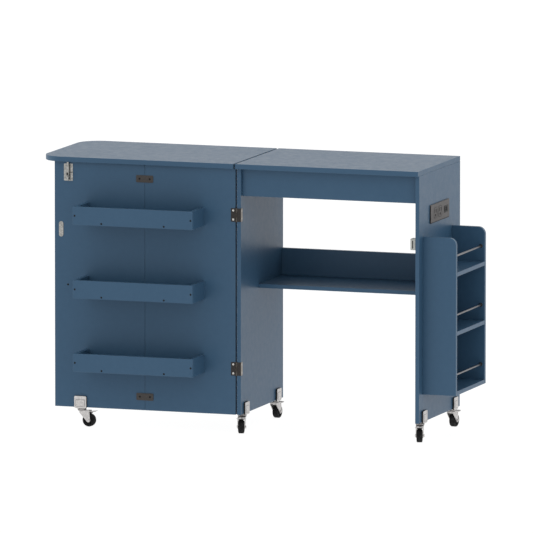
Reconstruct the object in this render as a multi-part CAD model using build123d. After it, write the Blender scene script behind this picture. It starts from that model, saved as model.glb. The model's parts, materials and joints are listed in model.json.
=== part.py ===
from build123d import *
import math
import os

# Folding sewing table: an open cabinet on four casters with a power outlet and a spool rack
# on its right side, a drop leaf on its left, and a wide door that stands under the leaf on a
# caster of its own and carries three thread trays.
#
# Cabinet coordinates: X runs right from the left panel's outer face, Y runs back from the
# front edges of the side panels, Z runs up from the floor. save() moves every node so that
# the origin is on the floor under the centre of the whole table.

# ------------------------------------------------------------------ driving dimensions, mm
# cabinet
CABINET_WIDTH = 568.0
PANEL_DEPTH = 388.0
PANEL_HEIGHT = 736.0
CASTER_HEIGHT = 58.0          # floor to the underside of the panels
BOARD = 12.0                  # thickness of every board but the top, the leaf and the door
EASE = 0.8                    # radius on the edges of the boards
TOP_THICK = 15.0
TOP_EASE = 1.2
TOP_LEFT = -2.0
FRONT_OVERHANG = 12.0
APRON_HEIGHT = 82.5
APRON_RECESS = 14.0
SHELF_FRONT = 162.0
SHELF_TOP = 430.0
BACK_RAIL_HEIGHT = 81.0

# drop leaf
LEAF_LEFT = -617.0
LEAF_RIGHT = -8.0
LEAF_CORNER = 68.0
LEAF_AXIS_X = -4.6
LEAF_AXIS_Z = 791.2
LEAF_HINGE_YS = (75.0, 313.0)

# door
DOOR_BOARD = 16.0
DOOR_LEFT = -573.5
DOOR_RIGHT = -5.1
DOOR_SEAM = 0.6
DOOR_TOP_GAP = 1.0
DOOR_AXIS_Y = -1.2
DOOR_HINGE_ZS = (195.5, 655.5)

# thread trays on the door
TRAY_LENGTH = 376.0
TRAY_DEPTH = 110.0
TRAY_HEIGHT = 54.0
TRAY_BOTTOMS = (180.0, 400.0, 620.0)
TRAY_SCREW_INSET = 98.0       # bottom screws, from the tray's middle
TRAY_SCREW_LENGTH = 32.0

# spool rack
RACK_DEPTH = 103.0
RACK_FRONT = 35.0
RACK_REAR = 321.0
RACK_BOTTOM = 141.0
RACK_TOP = 610.5
RACK_CORNER = 22.0
RACK_SHELF_BOTTOMS = (141.0, 319.0, 495.0)
ROD_RADIUS = 3.0
ROD_ABOVE_SHELF = 46.0
ROD_FROM_EDGE = 12.0

# power outlet
OUTLET_Y = 186.0
OUTLET_Z = 669.5
OUTLET_LENGTH = 174.0
OUTLET_HEIGHT = 53.0
OUTLET_PROUD = 4.0
HOUSING_LENGTH = 156.0
HOUSING_HEIGHT = 40.0
HOUSING_DEPTH = 44.0
HOUSING_WALL = 2.0
SOCKET_YS = (143.0, 186.0)
USB_YS = (229.0, 243.0)
GLAND_BORE = 3.6
GLAND_IN = 16.0               # from the housing's inner face to the gland's middle
GLAND_NECK = 6.0
GLAND_COLLAR = 8.0
GLAND_NOSE = 11.0             # length of the nose behind the collar

# casters
KINGPIN_INBOARD = 11.0        # from the face that carries the bracket
KINGPIN_RADIUS = 3.0
KINGPIN_HEAD = 5.0            # radius of its riveted foot
TRAIL = 23.0
WHEEL_RADIUS = 19.5
WHEEL_HALF = 8.5
AXLE_RADIUS = 2.5
FORK_INSIDE = 9.5
FORK_OUTSIDE = 11.3
FORK_TOP = 48.5
FORK_WEB = 2.5
SWIVEL_RADIUS = 12.0
SWIVEL_GAP = 0.3              # between the fork's hub and the bracket
LEVER_PIVOT = (24.0, 43.2)    # along the trail, above the floor
LEVER_PIN_RADIUS = 1.5
LEVER_BARREL = 2.7
LEVER_SHEET = 1.6
LEVER_REACH = 22.0            # from the pin to the tail's end
LEVER_HALF = 13.0             # half the tail's width
BRACKET_WIDTH = 38.0
BRACKET_HEIGHT = 36.0
BRACKET_TOP = 34.0            # above the underside of the board
BRACKET_DEPTH = 6.0           # of the plate, out from the board's face
BRACKET_FLANGE = 3.0
BRACKET_SCREW_RISE = 28.0     # above the underside of the board
FRONT_CASTER_Y = 44.0
REAR_CASTER_Y = 337.0
DOOR_CASTER_X = -492.0

# slide bolt, strike plate and knob on the door
BOLT_X = -529.5
BOLT_Y = -6.0
BOLT_RADIUS = 3.5
BOLT_TRAVEL = 8.0
BARREL_RADIUS = 5.0
LATCH_WIDTH = 28.0
LATCH_HEIGHT = 51.0
LATCH_BELOW_TOP = 5.5         # from the door's top edge
LATCH_SCREW_INSET = 7.0
LATCH_SCREW_SPREAD = 10.0
STRIKE_X = -552.7
STRIKE_Z = 591.0
STRIKE_WIDTH = 14.0
STRIKE_HEIGHT = 46.0
STRIKE_SCREW_SPREAD = 16.0
FITTING_PLATE = 1.5           # thickness of the plates screwed to the door's face
KNOB_X = -531.7
KNOB_Z = 425.0
KNOB_SCREW_LENGTH = 28.0

# dowels, screws and clearances
DOWEL_RADIUS = 3.0
DOWEL_IN_PANEL = 8.0
DOWEL_IN_RAIL = 20.0
DOWEL_CLEARANCE = 0.05
RAIL_DOWELS = (20.0, 60.0)    # from the rail's outer edge
SHELF_DOWEL_YS = (200.0, 270.0, 340.0)
TOP_DOWEL_YS = (60.0, 194.0, 328.0)
RACK_DOWEL_ZS = (190.0, 375.0, 560.0)
RACK_DOWEL_INSET = 28.0
FITTING_SCREW_LENGTH = 10.0   # in the plates, the latch, the strike and the hinges
GRIP = 9.0                    # of the bracket screws in the boards
SNUG = 0.03                   # round a fixed pin or screw
RUNNING = 0.05                # round a turning pin
JOINT = 0.05                  # glue line between boards that meet

# ------------------------------------------------------------------ derived dimensions
PANEL_BOTTOM = CASTER_HEIGHT
PANEL_TOP = PANEL_BOTTOM + PANEL_HEIGHT
TOP_SURFACE = PANEL_TOP + TOP_THICK
INSIDE_LEFT = BOARD
INSIDE_RIGHT = CABINET_WIDTH - BOARD
DOOR_TOP = PANEL_TOP - DOOR_TOP_GAP
DOOR_MIDDLE = (DOOR_LEFT + DOOR_RIGHT) / 2
DOOR_AXIS_X = DOOR_RIGHT / 2
RACK_OUTSIDE = CABINET_WIDTH + RACK_DEPTH
ROD_X = RACK_OUTSIDE - ROD_FROM_EDGE
SHELF_BOTTOM = SHELF_TOP - BOARD
LATCH_BOTTOM = DOOR_TOP - LATCH_BELOW_TOP - LATCH_HEIGHT

CENTRE_X = (LEAF_LEFT + RACK_OUTSIDE) / 2
CENTRE_Y = (PANEL_DEPTH - TRAY_DEPTH) / 2

# name, kingpin x, kingpin y, direction of the trail in degrees
CASTERS = (
    ("front_left", BOARD - KINGPIN_INBOARD, FRONT_CASTER_Y, -77.0),
    ("front_right", CABINET_WIDTH - KINGPIN_INBOARD, FRONT_CASTER_Y, -75.0),
    ("rear_left", BOARD - KINGPIN_INBOARD, REAR_CASTER_Y, 84.0),
    ("rear_right", CABINET_WIDTH - KINGPIN_INBOARD, REAR_CASTER_Y, 83.0),
    ("door", DOOR_CASTER_X, KINGPIN_INBOARD, 0.0),
)


# ------------------------------------------------------------------ helpers
def save(name, *solids):
    """Write one node, as one solid or as a group of separate solids."""
    shape = solids[0] if len(solids) == 1 else Compound(children=list(solids))
    export_step(Pos(-CENTRE_X, -CENTRE_Y, 0) * shape, f"parts/{name}.step")


def block(x, y, z):
    """Box between the pairs of limits x, y and z."""
    centre = Pos((x[0] + x[1]) / 2, (y[0] + y[1]) / 2, (z[0] + z[1]) / 2)
    return centre * Box(x[1] - x[0], y[1] - y[0], z[1] - z[0])


def board(x, y, z, ease=EASE):
    """Flat board with all its edges slightly rounded."""
    solid = block(x, y, z)
    return fillet(solid.edges(), ease)


def rod(start, direction, radius, length):
    """Round bar from a start point along a direction."""
    return extrude(Plane(origin=start, z_dir=direction) * Circle(radius), amount=length)


def shifted(point, direction, distance):
    """Point moved a distance along a direction."""
    return tuple(p + d * distance for p, d in zip(point, direction))


def boxes_meet(a, b):
    """True where the bounding boxes of two shapes overlap."""
    first = a.bounding_box()
    second = b.bounding_box()
    return (first.min.X < second.max.X and second.min.X < first.max.X
            and first.min.Y < second.max.Y and second.min.Y < first.max.Y
            and first.min.Z < second.max.Z and second.min.Z < first.max.Z)


def drilled(solid, holes):
    """Cut every hole that reaches the solid."""
    for hole in holes:
        if boxes_meet(solid, hole):
            solid = solid - hole
    return solid


# ------------------------------------------------------------------ dowels and screws
def dowel(point, direction):
    """Wooden dowel across a joint face at point; direction goes into the rail."""
    start = shifted(point, direction, -DOWEL_IN_PANEL)
    return rod(start, direction, DOWEL_RADIUS, DOWEL_IN_PANEL + DOWEL_IN_RAIL)


def dowel_hole(point, direction):
    """Hole for a dowel, a little longer and wider than it."""
    spare = 0.5                   # at each end
    start = shifted(point, direction, -DOWEL_IN_PANEL - spare)
    length = DOWEL_IN_PANEL + DOWEL_IN_RAIL + 2 * spare
    return rod(start, direction, DOWEL_RADIUS + DOWEL_CLEARANCE, length)


def screw(point, direction, head=3.2, shank=1.5, length=12.0, sunk=2.0, grow=0.0):
    """Countersunk screw whose head is flush at point; grow makes the hole for it."""
    cone = Plane(origin=point, z_dir=direction) * Circle(head + grow)
    tip = Plane(origin=shifted(point, direction, sunk), z_dir=direction) * Circle(shank + grow)
    body = loft([cone.face(), tip.face()])
    return body + rod(point, direction, shank + grow, length + grow)


def panel_joint_dowels():
    """Point and direction of every dowel in the cabinet and the rack."""
    places = []
    apron_middle = APRON_RECESS + BOARD / 2
    rear_middle = PANEL_DEPTH - BOARD / 2
    for x, way in ((INSIDE_LEFT, 1), (INSIDE_RIGHT, -1)):
        inwards = (way, 0, 0)
        for y in (apron_middle, rear_middle):
            for drop in RAIL_DOWELS:
                places.append(((x, y, PANEL_TOP - drop), inwards))
        for y in SHELF_DOWEL_YS:
            places.append(((x, y, SHELF_TOP - BOARD / 2), inwards))
        for rise in RAIL_DOWELS:
            places.append(((x, rear_middle, SHELF_TOP + rise), inwards))
    for x in (BOARD / 2, CABINET_WIDTH - BOARD / 2):
        for y in TOP_DOWEL_YS:
            places.append(((x, y, PANEL_TOP), (0, 0, -1)))
    for y in (RACK_FRONT + BOARD / 2, RACK_REAR - BOARD / 2):
        for z in RACK_DOWEL_ZS:
            places.append(((CABINET_WIDTH, y, z), (1, 0, 0)))
    for bottom in RACK_SHELF_BOTTOMS:
        for x in (CABINET_WIDTH + RACK_DOWEL_INSET, RACK_OUTSIDE - RACK_DOWEL_INSET):
            places.append(((x, RACK_FRONT + BOARD, bottom + BOARD / 2), (0, 1, 0)))
            places.append(((x, RACK_REAR - BOARD, bottom + BOARD / 2), (0, -1, 0)))
    return places


def tray_screw_points():
    """Screws in the tray fronts: one into each end board, two into each bottom board."""
    points = []
    for bottom in TRAY_BOTTOMS:
        for side in (-1, 1):
            end_x = DOOR_MIDDLE + side * (TRAY_LENGTH / 2 - BOARD / 2)
            points.append((end_x, -TRAY_DEPTH, bottom + TRAY_HEIGHT / 2))
            points.append((DOOR_MIDDLE + side * TRAY_SCREW_INSET, -TRAY_DEPTH, bottom + BOARD / 2))
    return points


def hinge_screw_points():
    """Screws through the door's side of the two hinges."""
    return [(HINGE_SCREW_X, -HINGE_PLATE, z + side * HINGE_SCREW_SPREAD)
            for z in DOOR_HINGE_ZS for side in (-1, 1)]


def latch_screw_points():
    """Screws at the corners of the slide bolt's base."""
    points = []
    for side in (-1, 1):
        for rise in (LATCH_SCREW_INSET, LATCH_HEIGHT - LATCH_SCREW_INSET):
            x = BOLT_X + side * LATCH_SCREW_SPREAD
            points.append((x, -FITTING_PLATE, LATCH_BOTTOM + rise))
    return points


def bracket_screws(place, grow=0.0):
    """Screw through a caster bracket's plate into the board behind it."""
    start = (KINGPIN_INBOARD + BRACKET_DEPTH, 0, PANEL_BOTTOM + BRACKET_SCREW_RISE)
    return place * screw(start, (-1, 0, 0), length=BRACKET_DEPTH + GRIP, grow=grow)


def bracket_place(name, x, y):
    """Bracket plates face right on the cabinet and forward on the door."""
    turn = -90.0 if name == "door" else 0.0
    return Pos(x, y, 0) * Rot(0, 0, turn)


# ------------------------------------------------------------------ cabinet boards
def keeper_hole(x, y):
    """Hole in the underside of the top or the leaf for the slide bolt's tip."""
    return rod((x, y, PANEL_TOP), (0, 0, 1), BOLT_RADIUS + 1.0, BOLT_TRAVEL + 1.5)


def make_top():
    """Fixed worktop, flush with the right panel and over the front edges."""
    top = board((TOP_LEFT, CABINET_WIDTH), (-FRONT_OVERHANG, PANEL_DEPTH),
                (PANEL_TOP, TOP_SURFACE), TOP_EASE)
    return top - keeper_hole(2 * DOOR_AXIS_X - BOLT_X, 2 * DOOR_AXIS_Y - BOLT_Y)


def make_leaf():
    """Drop leaf with large round corners at its free end and a keeper hole underneath."""
    length = LEAF_RIGHT - LEAF_LEFT
    depth = PANEL_DEPTH + FRONT_OVERHANG
    middle = Pos((LEAF_LEFT + LEAF_RIGHT) / 2, (PANEL_DEPTH - FRONT_OVERHANG) / 2, PANEL_TOP)
    leaf = middle * extrude(Rectangle(length, depth), amount=TOP_THICK)
    corners = leaf.edges().filter_by(Axis.Z).sort_by(Axis.X)[:2]
    leaf = fillet(corners, LEAF_CORNER)
    leaf = fillet(leaf.edges(), TOP_EASE)
    return leaf - keeper_hole(BOLT_X, BOLT_Y)


def make_rack_panel(y):
    """End board of the rack, with its upper outer corner rounded."""
    panel = block((CABINET_WIDTH + JOINT, RACK_OUTSIDE), (y, y + BOARD), (RACK_BOTTOM, RACK_TOP))
    corner = panel.edges().filter_by(Axis.Y).sort_by(Axis.Z)[-2:].sort_by(Axis.X)[-1]
    panel = fillet(corner, RACK_CORNER)
    return fillet(panel.edges(), EASE)


def make_cabinet(holes):
    """Panels, rails, shelf and rack boards, drilled for their dowels and screws."""
    side_z = (PANEL_BOTTOM, PANEL_TOP - JOINT)
    inside = (INSIDE_LEFT + JOINT, INSIDE_RIGHT - JOINT)
    rear = (PANEL_DEPTH - BOARD, PANEL_DEPTH)
    apron_z = (PANEL_TOP - APRON_HEIGHT, PANEL_TOP - JOINT)
    cutout = block((INSIDE_RIGHT - 1, CABINET_WIDTH + 1),
                   (OUTLET_Y - HOUSING_LENGTH / 2, OUTLET_Y + HOUSING_LENGTH / 2),
                   (OUTLET_Z - HOUSING_HEIGHT / 2, OUTLET_Z + HOUSING_HEIGHT / 2))
    right_panel = board((INSIDE_RIGHT, CABINET_WIDTH), (0, PANEL_DEPTH), side_z) - cutout
    boards = {
        "left_side_panel": board((0, BOARD), (0, PANEL_DEPTH), side_z),
        "right_side_panel": right_panel,
        "top_panel": make_top(),
        "front_apron": board(inside, (APRON_RECESS, APRON_RECESS + BOARD), apron_z),
        "rear_apron": board(inside, rear, apron_z),
        "shelf": board(inside, (SHELF_FRONT, PANEL_DEPTH), (SHELF_BOTTOM, SHELF_TOP)),
        "shelf_back_rail": board(inside, rear, (SHELF_TOP + JOINT, SHELF_TOP + BACK_RAIL_HEIGHT)),
        "rack_front_panel": make_rack_panel(RACK_FRONT),
        "rack_rear_panel": make_rack_panel(RACK_REAR - BOARD),
    }
    for name, solid in boards.items():
        save(name, drilled(solid, holes))
    shelves = []
    for bottom in RACK_SHELF_BOTTOMS:
        shelf = board((CABINET_WIDTH + JOINT, RACK_OUTSIDE),
                      (RACK_FRONT + BOARD + JOINT, RACK_REAR - BOARD - JOINT),
                      (bottom, bottom + BOARD))
        shelves.append(drilled(shelf, holes))
    save("rack_shelves", *shelves)


# ------------------------------------------------------------------ rack rods
ROD_SEAT = 6.0
FLANGE_RADIUS = 5.5
FLANGE_THICK = 2.0


def rod_heights():
    return [bottom + BOARD + ROD_ABOVE_SHELF for bottom in RACK_SHELF_BOTTOMS]


def rack_rods(grow=0.0):
    """Retaining rods, seated in blind holes in the rack's end boards."""
    start = RACK_FRONT + BOARD - ROD_SEAT - grow
    length = RACK_REAR - RACK_FRONT - 2 * BOARD + 2 * (ROD_SEAT + grow)
    return [rod((ROD_X, start, z), (0, 1, 0), ROD_RADIUS + grow, length) for z in rod_heights()]


def rod_flanges():
    """Collar round each end of each rod, against the rack's end boards."""
    flanges = []
    for z in rod_heights():
        for y in (RACK_FRONT + BOARD, RACK_REAR - BOARD - FLANGE_THICK):
            disc = rod((ROD_X, y, z), (0, 1, 0), FLANGE_RADIUS, FLANGE_THICK)
            bore = rod((ROD_X, y, z), (0, 1, 0), ROD_RADIUS + SNUG, FLANGE_THICK)
            flanges.append(disc - bore)
    return flanges


# ------------------------------------------------------------------ power outlet
SOCKET_SIZE = (34.0, 34.0)
USB_SIZE = (9.0, 15.0)
INSERT_DEPTH = 16.0


def outlet_window(y, size, grow=0.0):
    """Block in the place of a socket or port insert."""
    half_y = size[0] / 2 + grow
    half_z = size[1] / 2 + grow
    return block((CABINET_WIDTH - INSERT_DEPTH, CABINET_WIDTH + OUTLET_PROUD + grow),
                 (y - half_y, y + half_y), (OUTLET_Z - half_z, OUTLET_Z + half_z))


def make_socket(y):
    """Mains socket insert with two blade slots and a round earth hole."""
    slot_spread = 6.4
    slot_half = 0.9
    hole_rise = 8.0               # height of the slots, and drop of the earth hole
    depth = 10.0
    face = CABINET_WIDTH + OUTLET_PROUD
    insert = outlet_window(y, SOCKET_SIZE)
    for side in (-1, 1):
        slot_y = y + side * slot_spread
        insert -= block((face - depth, face + 1), (slot_y - slot_half, slot_y + slot_half),
                        (OUTLET_Z, OUTLET_Z + hole_rise))
    return insert - rod((face + 1, y, OUTLET_Z - hole_rise), (-1, 0, 0), 2.3, depth + 1)


def make_usb_port(y):
    """Upright charging port with its tongue."""
    half_width = 2.3
    half_height = 6.0
    depth = 3.5
    margin = 0.8                  # round the tongue
    face = CABINET_WIDTH + OUTLET_PROUD
    insert = outlet_window(y, USB_SIZE)
    insert -= block((face - depth, face + 1), (y - half_width, y + half_width),
                    (OUTLET_Z - half_height, OUTLET_Z + half_height))
    reach = half_height - margin
    return insert + block((face - depth - margin, face - margin), (y - 2 * margin, y),
                          (OUTLET_Z - reach, OUTLET_Z + reach))


def make_outlet():
    """Face plate, hollow housing behind it, inserts, and the supply cord's gland."""
    plate = block((CABINET_WIDTH, CABINET_WIDTH + OUTLET_PROUD),
                  (OUTLET_Y - OUTLET_LENGTH / 2, OUTLET_Y + OUTLET_LENGTH / 2),
                  (OUTLET_Z - OUTLET_HEIGHT / 2, OUTLET_Z + OUTLET_HEIGHT / 2))
    plate = fillet(plate.edges().filter_by(Axis.X), 2.5)
    plate = fillet(plate.faces().sort_by(Axis.X)[-1].edges(), 1.0)
    sockets = [make_socket(y) for y in SOCKET_YS]
    ports = [make_usb_port(y) for y in USB_YS]
    for y in SOCKET_YS:
        plate -= outlet_window(y, SOCKET_SIZE, SNUG)
    for y in USB_YS:
        plate -= outlet_window(y, USB_SIZE, SNUG)
    save("outlet_face_plate", plate)
    save("outlet_inserts", *sockets, *ports)

    half_y = HOUSING_LENGTH / 2 - SNUG
    half_z = HOUSING_HEIGHT / 2 - SNUG
    deep = CABINET_WIDTH - HOUSING_DEPTH
    housing = block((deep, CABINET_WIDTH), (OUTLET_Y - half_y, OUTLET_Y + half_y),
                    (OUTLET_Z - half_z, OUTLET_Z + half_z))
    housing -= block((deep + HOUSING_WALL, CABINET_WIDTH + 1),
                     (OUTLET_Y - half_y + HOUSING_WALL, OUTLET_Y + half_y - HOUSING_WALL),
                     (OUTLET_Z - half_z + HOUSING_WALL, OUTLET_Z + half_z - HOUSING_WALL))
    back = (0, 1, 0)
    inside = (deep + GLAND_IN, OUTLET_Y + half_y - HOUSING_WALL, OUTLET_Z)
    outside = shifted(inside, back, HOUSING_WALL)
    housing -= rod(shifted(inside, back, -1), back, GLAND_NECK + SNUG, HOUSING_WALL + 2)
    save("outlet_housing", housing)

    collar = 3.0
    gland = rod(inside, back, GLAND_NECK, HOUSING_WALL + collar + GLAND_NOSE)
    gland += rod(outside, back, GLAND_COLLAR, collar)
    gland -= rod(inside, back, GLAND_BORE, HOUSING_WALL + collar + GLAND_NOSE)
    save("outlet_cord_gland", gland)


# ------------------------------------------------------------------ door boards and trays
def make_door(holes):
    """Two boards side by side, held in one plane by joining plates and the trays."""
    y = (0, DOOR_BOARD)
    z = (PANEL_BOTTOM, DOOR_TOP)
    inner = board((DOOR_MIDDLE + DOOR_SEAM / 2, DOOR_RIGHT), y, z)
    outer = board((DOOR_LEFT, DOOR_MIDDLE - DOOR_SEAM / 2), y, z)
    save("door_hinge_side_board", drilled(inner, holes))
    save("door_free_side_board", drilled(outer, holes))


def make_trays(holes):
    """Front, ends and bottom of each tray; the front covers the ends and the bottom."""
    left = DOOR_MIDDLE - TRAY_LENGTH / 2
    right = DOOR_MIDDLE + TRAY_LENGTH / 2
    front_y = (-TRAY_DEPTH, BOARD - TRAY_DEPTH)
    rest_y = (BOARD - TRAY_DEPTH + JOINT, -JOINT)
    fronts = []
    ends = []
    bottoms = []
    for bottom in TRAY_BOTTOMS:
        height = (bottom, bottom + TRAY_HEIGHT)
        fronts.append(board((left, right), front_y, height))
        ends.append(board((left, left + BOARD), rest_y, height))
        ends.append(board((right - BOARD, right), rest_y, height))
        bottom_x = (left + BOARD + JOINT, right - BOARD - JOINT)
        bottoms.append(board(bottom_x, rest_y, (bottom, bottom + BOARD)))
    save("tray_fronts", *[drilled(solid, holes) for solid in fronts])
    save("tray_ends", *[drilled(solid, holes) for solid in ends])
    save("tray_bottoms", *[drilled(solid, holes) for solid in bottoms])


# ------------------------------------------------------------------ door fittings
PLATE_LENGTH = 53.5
PLATE_HEIGHT = 21.5
PLATE_ZS = (98.5, 751.5)
PLATE_HOLES = 16.0


def rounded_plate(x, z, width, height, radius):
    """Thin plate on the door's front face, with rounded corners."""
    outline = Plane(origin=(x, 0, z), x_dir=(1, 0, 0), z_dir=(0, -1, 0))
    return extrude(outline * RectangleRounded(width, height, radius), amount=FITTING_PLATE)


def joining_plate_points():
    return [(DOOR_MIDDLE + side * PLATE_HOLES, -FITTING_PLATE, z)
            for z in PLATE_ZS for side in (-1, 1)]


def strike_points():
    return [(STRIKE_X, -FITTING_PLATE, STRIKE_Z + side * STRIKE_SCREW_SPREAD) for side in (-1, 1)]


def make_latch(holes):
    """Slide bolt: a base with a slotted barrel, and the bolt that runs up in it."""
    middle = LATCH_BOTTOM + LATCH_HEIGHT / 2
    base = rounded_plate(BOLT_X, middle, LATCH_WIDTH, LATCH_HEIGHT, 2.0)
    base = drilled(base, holes)
    margin = 4.0                                    # from the base's ends to the barrel
    foot = LATCH_BOTTOM + margin
    barrel_length = LATCH_HEIGHT - 2 * margin
    barrel = rod((BOLT_X, BOLT_Y, foot), (0, 0, 1), BARREL_RADIUS, barrel_length)
    barrel += block((BOLT_X - BARREL_RADIUS, BOLT_X + BARREL_RADIUS), (BOLT_Y, -1.0),
                    (foot, foot + barrel_length))
    bore = rod((BOLT_X, BOLT_Y, foot - 1), (0, 0, 1), BOLT_RADIUS + RUNNING, barrel_length + 2)
    finger_radius = 1.8
    finger_z = foot + 11.0
    slack = 0.4                                     # round the finger in the slot
    reach = finger_radius + slack
    slot = block((BOLT_X - reach, BOLT_X + reach), (BOLT_Y - BARREL_RADIUS - 2, BOLT_Y),
                 (finger_z - reach, finger_z + BOLT_TRAVEL + reach))
    save("latch_base", (base + barrel) - bore - slot)

    below_top = 0.4                                 # the drawn bolt's tip, under the leaf
    bolt_foot = foot + 2.0
    length = PANEL_TOP - below_top - bolt_foot
    bolt = rod((BOLT_X, BOLT_Y, bolt_foot), (0, 0, 1), BOLT_RADIUS, length)
    bolt = fillet(bolt.edges().sort_by(Axis.Z)[-1], 1.0)
    bolt += rod((BOLT_X, BOLT_Y, finger_z), (0, -1, 0), finger_radius, 6.5)
    save("latch_bolt", bolt)


def make_door_fittings(holes):
    """Joining plates, strike plate and knob."""
    plates = []
    for z in PLATE_ZS:
        plate = rounded_plate(DOOR_MIDDLE, z, PLATE_LENGTH, PLATE_HEIGHT, 3.0)
        plates.append(drilled(plate, holes))
    save("joining_plates", *plates)

    strike = rounded_plate(STRIKE_X, STRIKE_Z, STRIKE_WIDTH, STRIKE_HEIGHT, 6.9)
    save("strike_plate", drilled(strike, holes))

    profile = make_face(Polyline((0, 0), (7, 0), (5.5, 5), (6, 10), (12, 14), (14, 18),
                                 (13.2, 21), (10, 23), (0, 23.6), close=True))
    knob = revolve(profile, Axis.Y)
    save("door_knob", drilled(Pos(KNOB_X, DOOR_BOARD, KNOB_Z) * knob, holes))


# ------------------------------------------------------------------ door hinges
HINGE_HEIGHT = 40.0
HINGE_PLATE = 1.0
KNUCKLE_RADIUS = 2.4
HINGE_PIN_RADIUS = 1.2
PIN_HEAD_RADIUS = 2.2
PIN_HEAD_THICK = 1.2
KNUCKLE_GAP = 0.3
HINGE_SCREW_X = -11.6
HINGE_SCREW_SPREAD = 13.5
RETURN_SCREW_Y = 8.0
RETURN_SCREW_SPREAD = 12.0
DOOR_PLATE_END = -18.6
PANEL_PLATE_END = BOARD + HINGE_PLATE
RETURN_DEPTH = 14.0


def knuckle(z0, z1):
    """Knuckle of a door hinge between two heights, without its bore."""
    return rod((DOOR_AXIS_X, DOOR_AXIS_Y, z0), (0, 0, 1), KNUCKLE_RADIUS, z1 - z0)


def door_hinge(z):
    """One hinge at height z: fixed leaf, moving leaf and pin."""
    low = z - HINGE_HEIGHT / 2
    high = z + HINGE_HEIGHT / 2
    third = HINGE_HEIGHT / 3
    middle = (low + third + KNUCKLE_GAP, high - third - KNUCKLE_GAP)
    near = KNUCKLE_RADIUS + KNUCKLE_GAP
    plate_y = (-HINGE_PLATE, 0)

    fixed = block((DOOR_AXIS_X + near, PANEL_PLATE_END), plate_y, (low, high))
    fixed += block((BOARD, PANEL_PLATE_END), (-HINGE_PLATE, RETURN_DEPTH), (low, high))
    for z0, z1 in ((low, low + third), (high - third, high)):
        fixed += knuckle(z0, z1)
        fixed += block((DOOR_AXIS_X, DOOR_AXIS_X + near + 1), plate_y, (z0, z1))

    moving = block((DOOR_PLATE_END, DOOR_AXIS_X - near), plate_y, (low, high))
    moving += knuckle(*middle)
    moving += block((DOOR_AXIS_X - near - 1, DOOR_AXIS_X), plate_y, middle)

    axis = (DOOR_AXIS_X, DOOR_AXIS_Y, low)
    bore = rod(axis, (0, 0, 1), HINGE_PIN_RADIUS + RUNNING, HINGE_HEIGHT)
    pin = rod(axis, (0, 0, 1), HINGE_PIN_RADIUS, HINGE_HEIGHT)
    for foot in (HINGE_HEIGHT, -PIN_HEAD_THICK):
        pin += rod(shifted(axis, (0, 0, 1), foot), (0, 0, 1), PIN_HEAD_RADIUS, PIN_HEAD_THICK)
    return fixed - bore, moving - bore, pin


def flange_screw_points():
    """Screws through the return of each fixed leaf, inside the left panel."""
    return [(PANEL_PLATE_END, RETURN_SCREW_Y, z + side * RETURN_SCREW_SPREAD)
            for z in DOOR_HINGE_ZS for side in (-1, 1)]


# ------------------------------------------------------------------ leaf hinges
LEAF_HINGE_WIDTH = 50.0
LEAF_KNUCKLE_RADIUS = 2.6
LEAF_PLATE = 1.2
LEAF_PLATE_LENGTH = 30.0      # under the leaf
SIDE_PLATE_ZS = (PANEL_TOP - 42.0, PANEL_TOP - 6.0)


def leaf_bar(y0, y1, radius):
    """Bar on the leaf's hinge axis between two depths."""
    return rod((LEAF_AXIS_X, y0, LEAF_AXIS_Z), (0, 1, 0), radius, y1 - y0)


def leaf_hinge(y):
    """One hinge centred at depth y: a plate down the side panel and one under the leaf."""
    front = y - LEAF_HINGE_WIDTH / 2
    rear = y + LEAF_HINGE_WIDTH / 2
    third = LEAF_HINGE_WIDTH / 3
    middle = (front + third + KNUCKLE_GAP, rear - third - KNUCKLE_GAP)
    web_z = (LEAF_AXIS_Z + LEAF_KNUCKLE_RADIUS - LEAF_PLATE, LEAF_AXIS_Z + LEAF_KNUCKLE_RADIUS)

    fixed = block((-LEAF_PLATE, 0), (front, rear), SIDE_PLATE_ZS)
    for y0, y1 in ((front, front + third), (rear - third, rear)):
        fixed += leaf_bar(y0, y1, LEAF_KNUCKLE_RADIUS)
        fixed += block((LEAF_AXIS_X, 0), (y0, y1), web_z)
        fixed += block((-LEAF_PLATE, 0), (y0, y1), (SIDE_PLATE_ZS[1] - 1, web_z[1]))

    plate_z = (PANEL_TOP - LEAF_PLATE, PANEL_TOP)
    moving = block((LEAF_RIGHT - LEAF_PLATE_LENGTH, LEAF_RIGHT), (front, rear), plate_z)
    moving += leaf_bar(*middle, LEAF_KNUCKLE_RADIUS)
    moving += block((LEAF_RIGHT - 1, LEAF_AXIS_X), middle, plate_z)

    bore = leaf_bar(front, rear, HINGE_PIN_RADIUS + RUNNING)
    pin = leaf_bar(front, rear, HINGE_PIN_RADIUS)
    pin += leaf_bar(front - PIN_HEAD_THICK, front, PIN_HEAD_RADIUS)
    pin += leaf_bar(rear, rear + PIN_HEAD_THICK, PIN_HEAD_RADIUS)
    return fixed - bore, moving - bore, pin


def make_hinges(holes):
    """All four hinges, grouped by what each piece is fixed to."""
    door_sets = [door_hinge(z) for z in DOOR_HINGE_ZS]
    leaf_sets = [leaf_hinge(y) for y in LEAF_HINGE_YS]
    save("door_hinge_fixed_leaves", *[drilled(item[0], holes) for item in door_sets])
    save("door_hinge_moving_leaves", *[drilled(item[1], holes) for item in door_sets])
    save("leaf_hinge_fixed_leaves", *[item[0] for item in leaf_sets])
    save("leaf_hinge_moving_leaves", *[item[1] for item in leaf_sets])
    save("hinge_pins", *[item[2] for item in door_sets + leaf_sets])


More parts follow.
